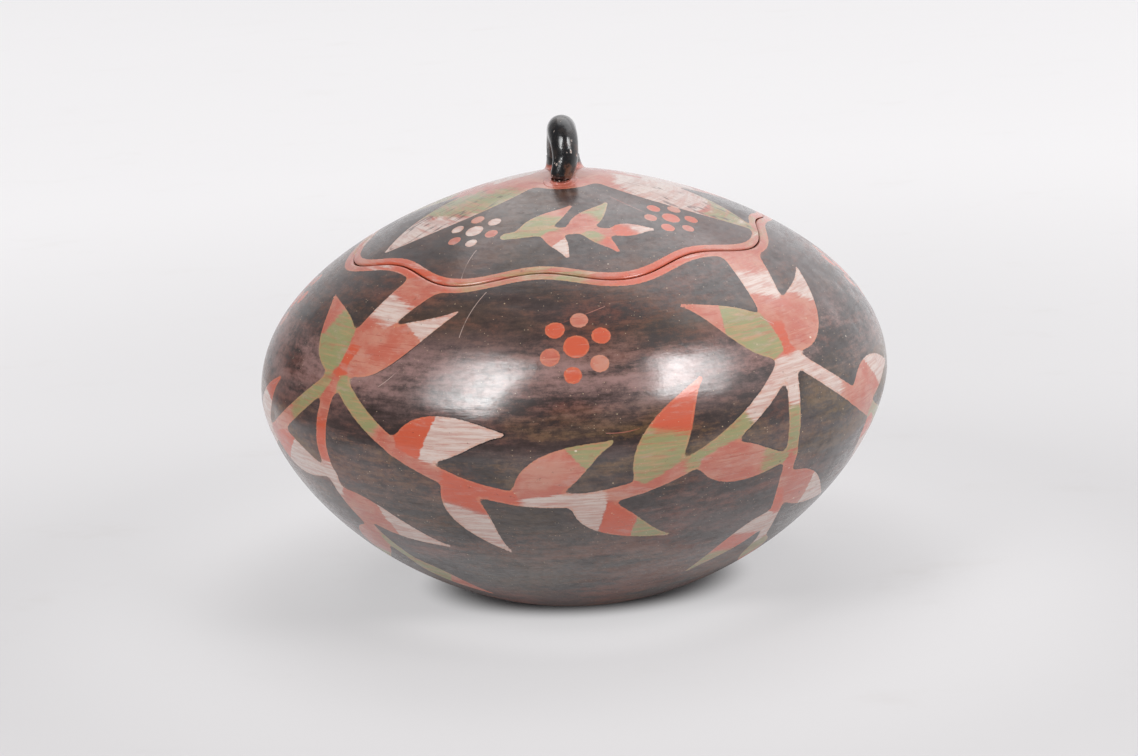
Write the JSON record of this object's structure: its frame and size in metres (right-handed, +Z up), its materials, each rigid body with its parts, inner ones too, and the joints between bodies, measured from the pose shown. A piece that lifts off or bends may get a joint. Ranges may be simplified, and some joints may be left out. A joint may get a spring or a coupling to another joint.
{
  "type": "pottery jar",
  "caption": "Wide lens-shaped burnished clay jar with a wavy-edged lift-off lid and an arched coil handle.",
  "frame": {"origin": "centre of the flat base, on the surface that the jar stands on", "axes": "+Z up through the middle of the lid, front towards -Y, +X to the right seen from the front"},
  "size_m": [0.2, 0.2, 0.1526],
  "materials": {
    "body_clay": "burnished semi-gloss, nearly black brown with slip-painted leaf ornament",
    "lid_clay": "burnished semi-gloss, nearly black brown with slip-painted petals and a coral rim",
    "handle_clay": "burnished gloss black",
    "collar_slip": "satin salmon slip"
  },
  "bodies": {
    "jar": {"jar_body": "body_clay"},
    "lid": {"lid_shell": "lid_clay", "lid_handle": "handle_clay", "front_handle_collar": "collar_slip", "back_handle_collar": "collar_slip"}
  },
  "joints": [
    {"name": "lid_lift", "type": "slide", "parent": "jar", "child": "lid", "axis": [0, 0, 1], "range_m": [0, 0.12]}
  ]
}
